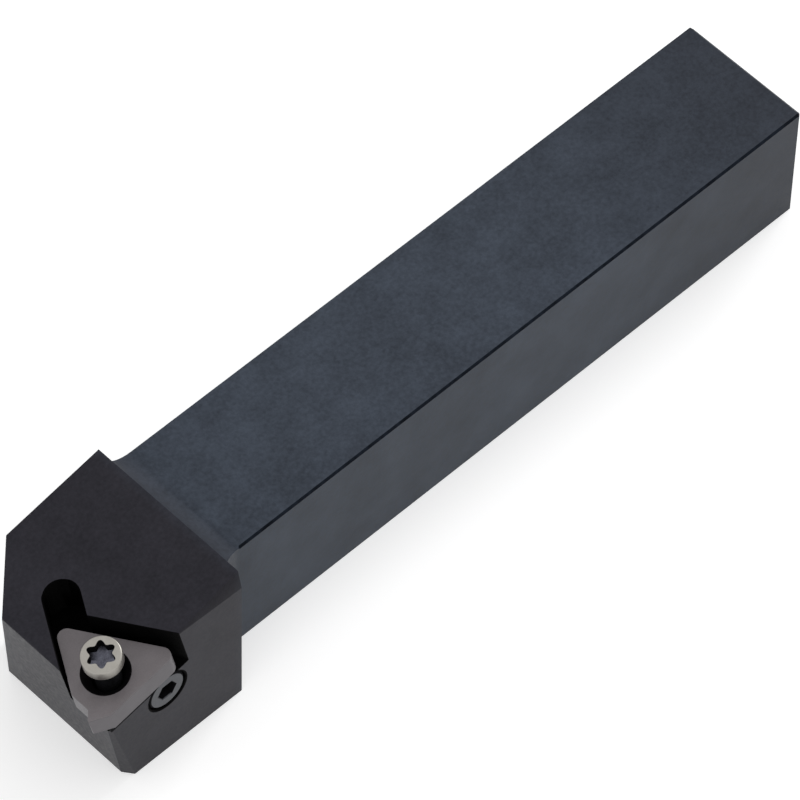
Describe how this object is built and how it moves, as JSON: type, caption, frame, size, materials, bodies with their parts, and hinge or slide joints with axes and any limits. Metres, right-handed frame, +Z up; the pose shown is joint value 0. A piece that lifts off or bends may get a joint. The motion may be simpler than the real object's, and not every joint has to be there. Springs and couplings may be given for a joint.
{
  "type": "threading tool holder",
  "caption": "External threading tool holder for a lathe: square shank, wider head with a sloping top and a screwed-down triangular threading insert at the front corner.",
  "frame": {"origin": "centre of the shank's underside", "axes": "+X along the shank towards the cutting end, +Y towards the insert's side, +Z up from the underside"},
  "size_m": [0.1304, 0.0266, 0.0256],
  "materials": {
    "black_oxide_steel": "black oxide, fine satin grain",
    "sintered_carbide": "ground grey carbide, satin",
    "shim_carbide": "dark grey, satin",
    "screw_steel": "bare steel, satin",
    "black_screw_steel": "dark oiled steel"
  },
  "bodies": {
    "root": {"holder": "black_oxide_steel", "insert": "sintered_carbide", "shim": "shim_carbide", "insert_screw": "screw_steel", "set_screw": "black_screw_steel"}
  },
  "joints": []
}
